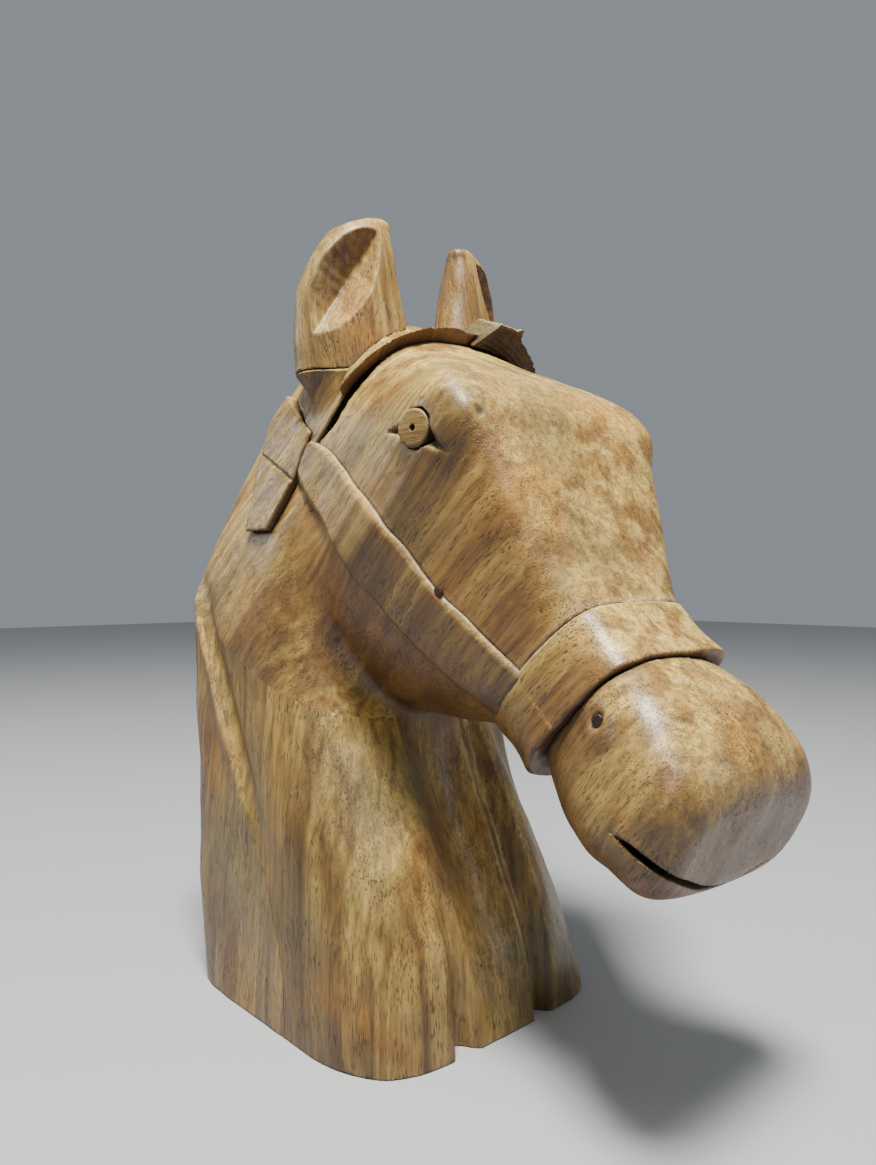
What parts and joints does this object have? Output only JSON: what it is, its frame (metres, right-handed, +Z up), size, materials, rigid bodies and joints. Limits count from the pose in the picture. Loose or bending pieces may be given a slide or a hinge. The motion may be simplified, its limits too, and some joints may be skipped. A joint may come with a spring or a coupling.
{
  "type": "carved wooden horse head bust",
  "caption": "Hand-carved wooden horse head and neck with a relief-carved bridle, standing on a flat sawn base.",
  "frame": {"origin": "middle of the flat base, on the surface that the bust stands on", "axes": "+Z up, -Y the way the horse faces, -X the horse's right side"},
  "size_m": [0.123, 0.2395, 0.3],
  "materials": {
    "block_wood": "waxed, satin, dark pores",
    "strap_wood": "waxed, satin, darker stained",
    "splintered_wood": "raw, splintered, dark",
    "ear_wood": "waxed, satin",
    "eye_wood": "end grain, satin",
    "dowel_wood": "plain turned",
    "nail_iron": "dark, glossy"
  },
  "bodies": {
    "root": {"neck_block": "block_wood", "mane_board": "block_wood", "head_block": "block_wood", "muzzle_block": "block_wood", "noseband": "strap_wood", "browband": "strap_wood", "forelock": "splintered_wood", "cheek_strap_right": "strap_wood", "cheek_strap_left": "strap_wood", "mane_slat_right": "strap_wood", "mane_slat_left": "strap_wood", "ear_right": "ear_wood", "ear_left": "ear_wood", "eye_right": "eye_wood", "eye_left": "eye_wood", "neck_dowels": "dowel_wood", "mane_dowels": "dowel_wood", "muzzle_dowel": "dowel_wood", "ear_pegs": "dowel_wood", "nails": "nail_iron"}
  },
  "joints": []
}
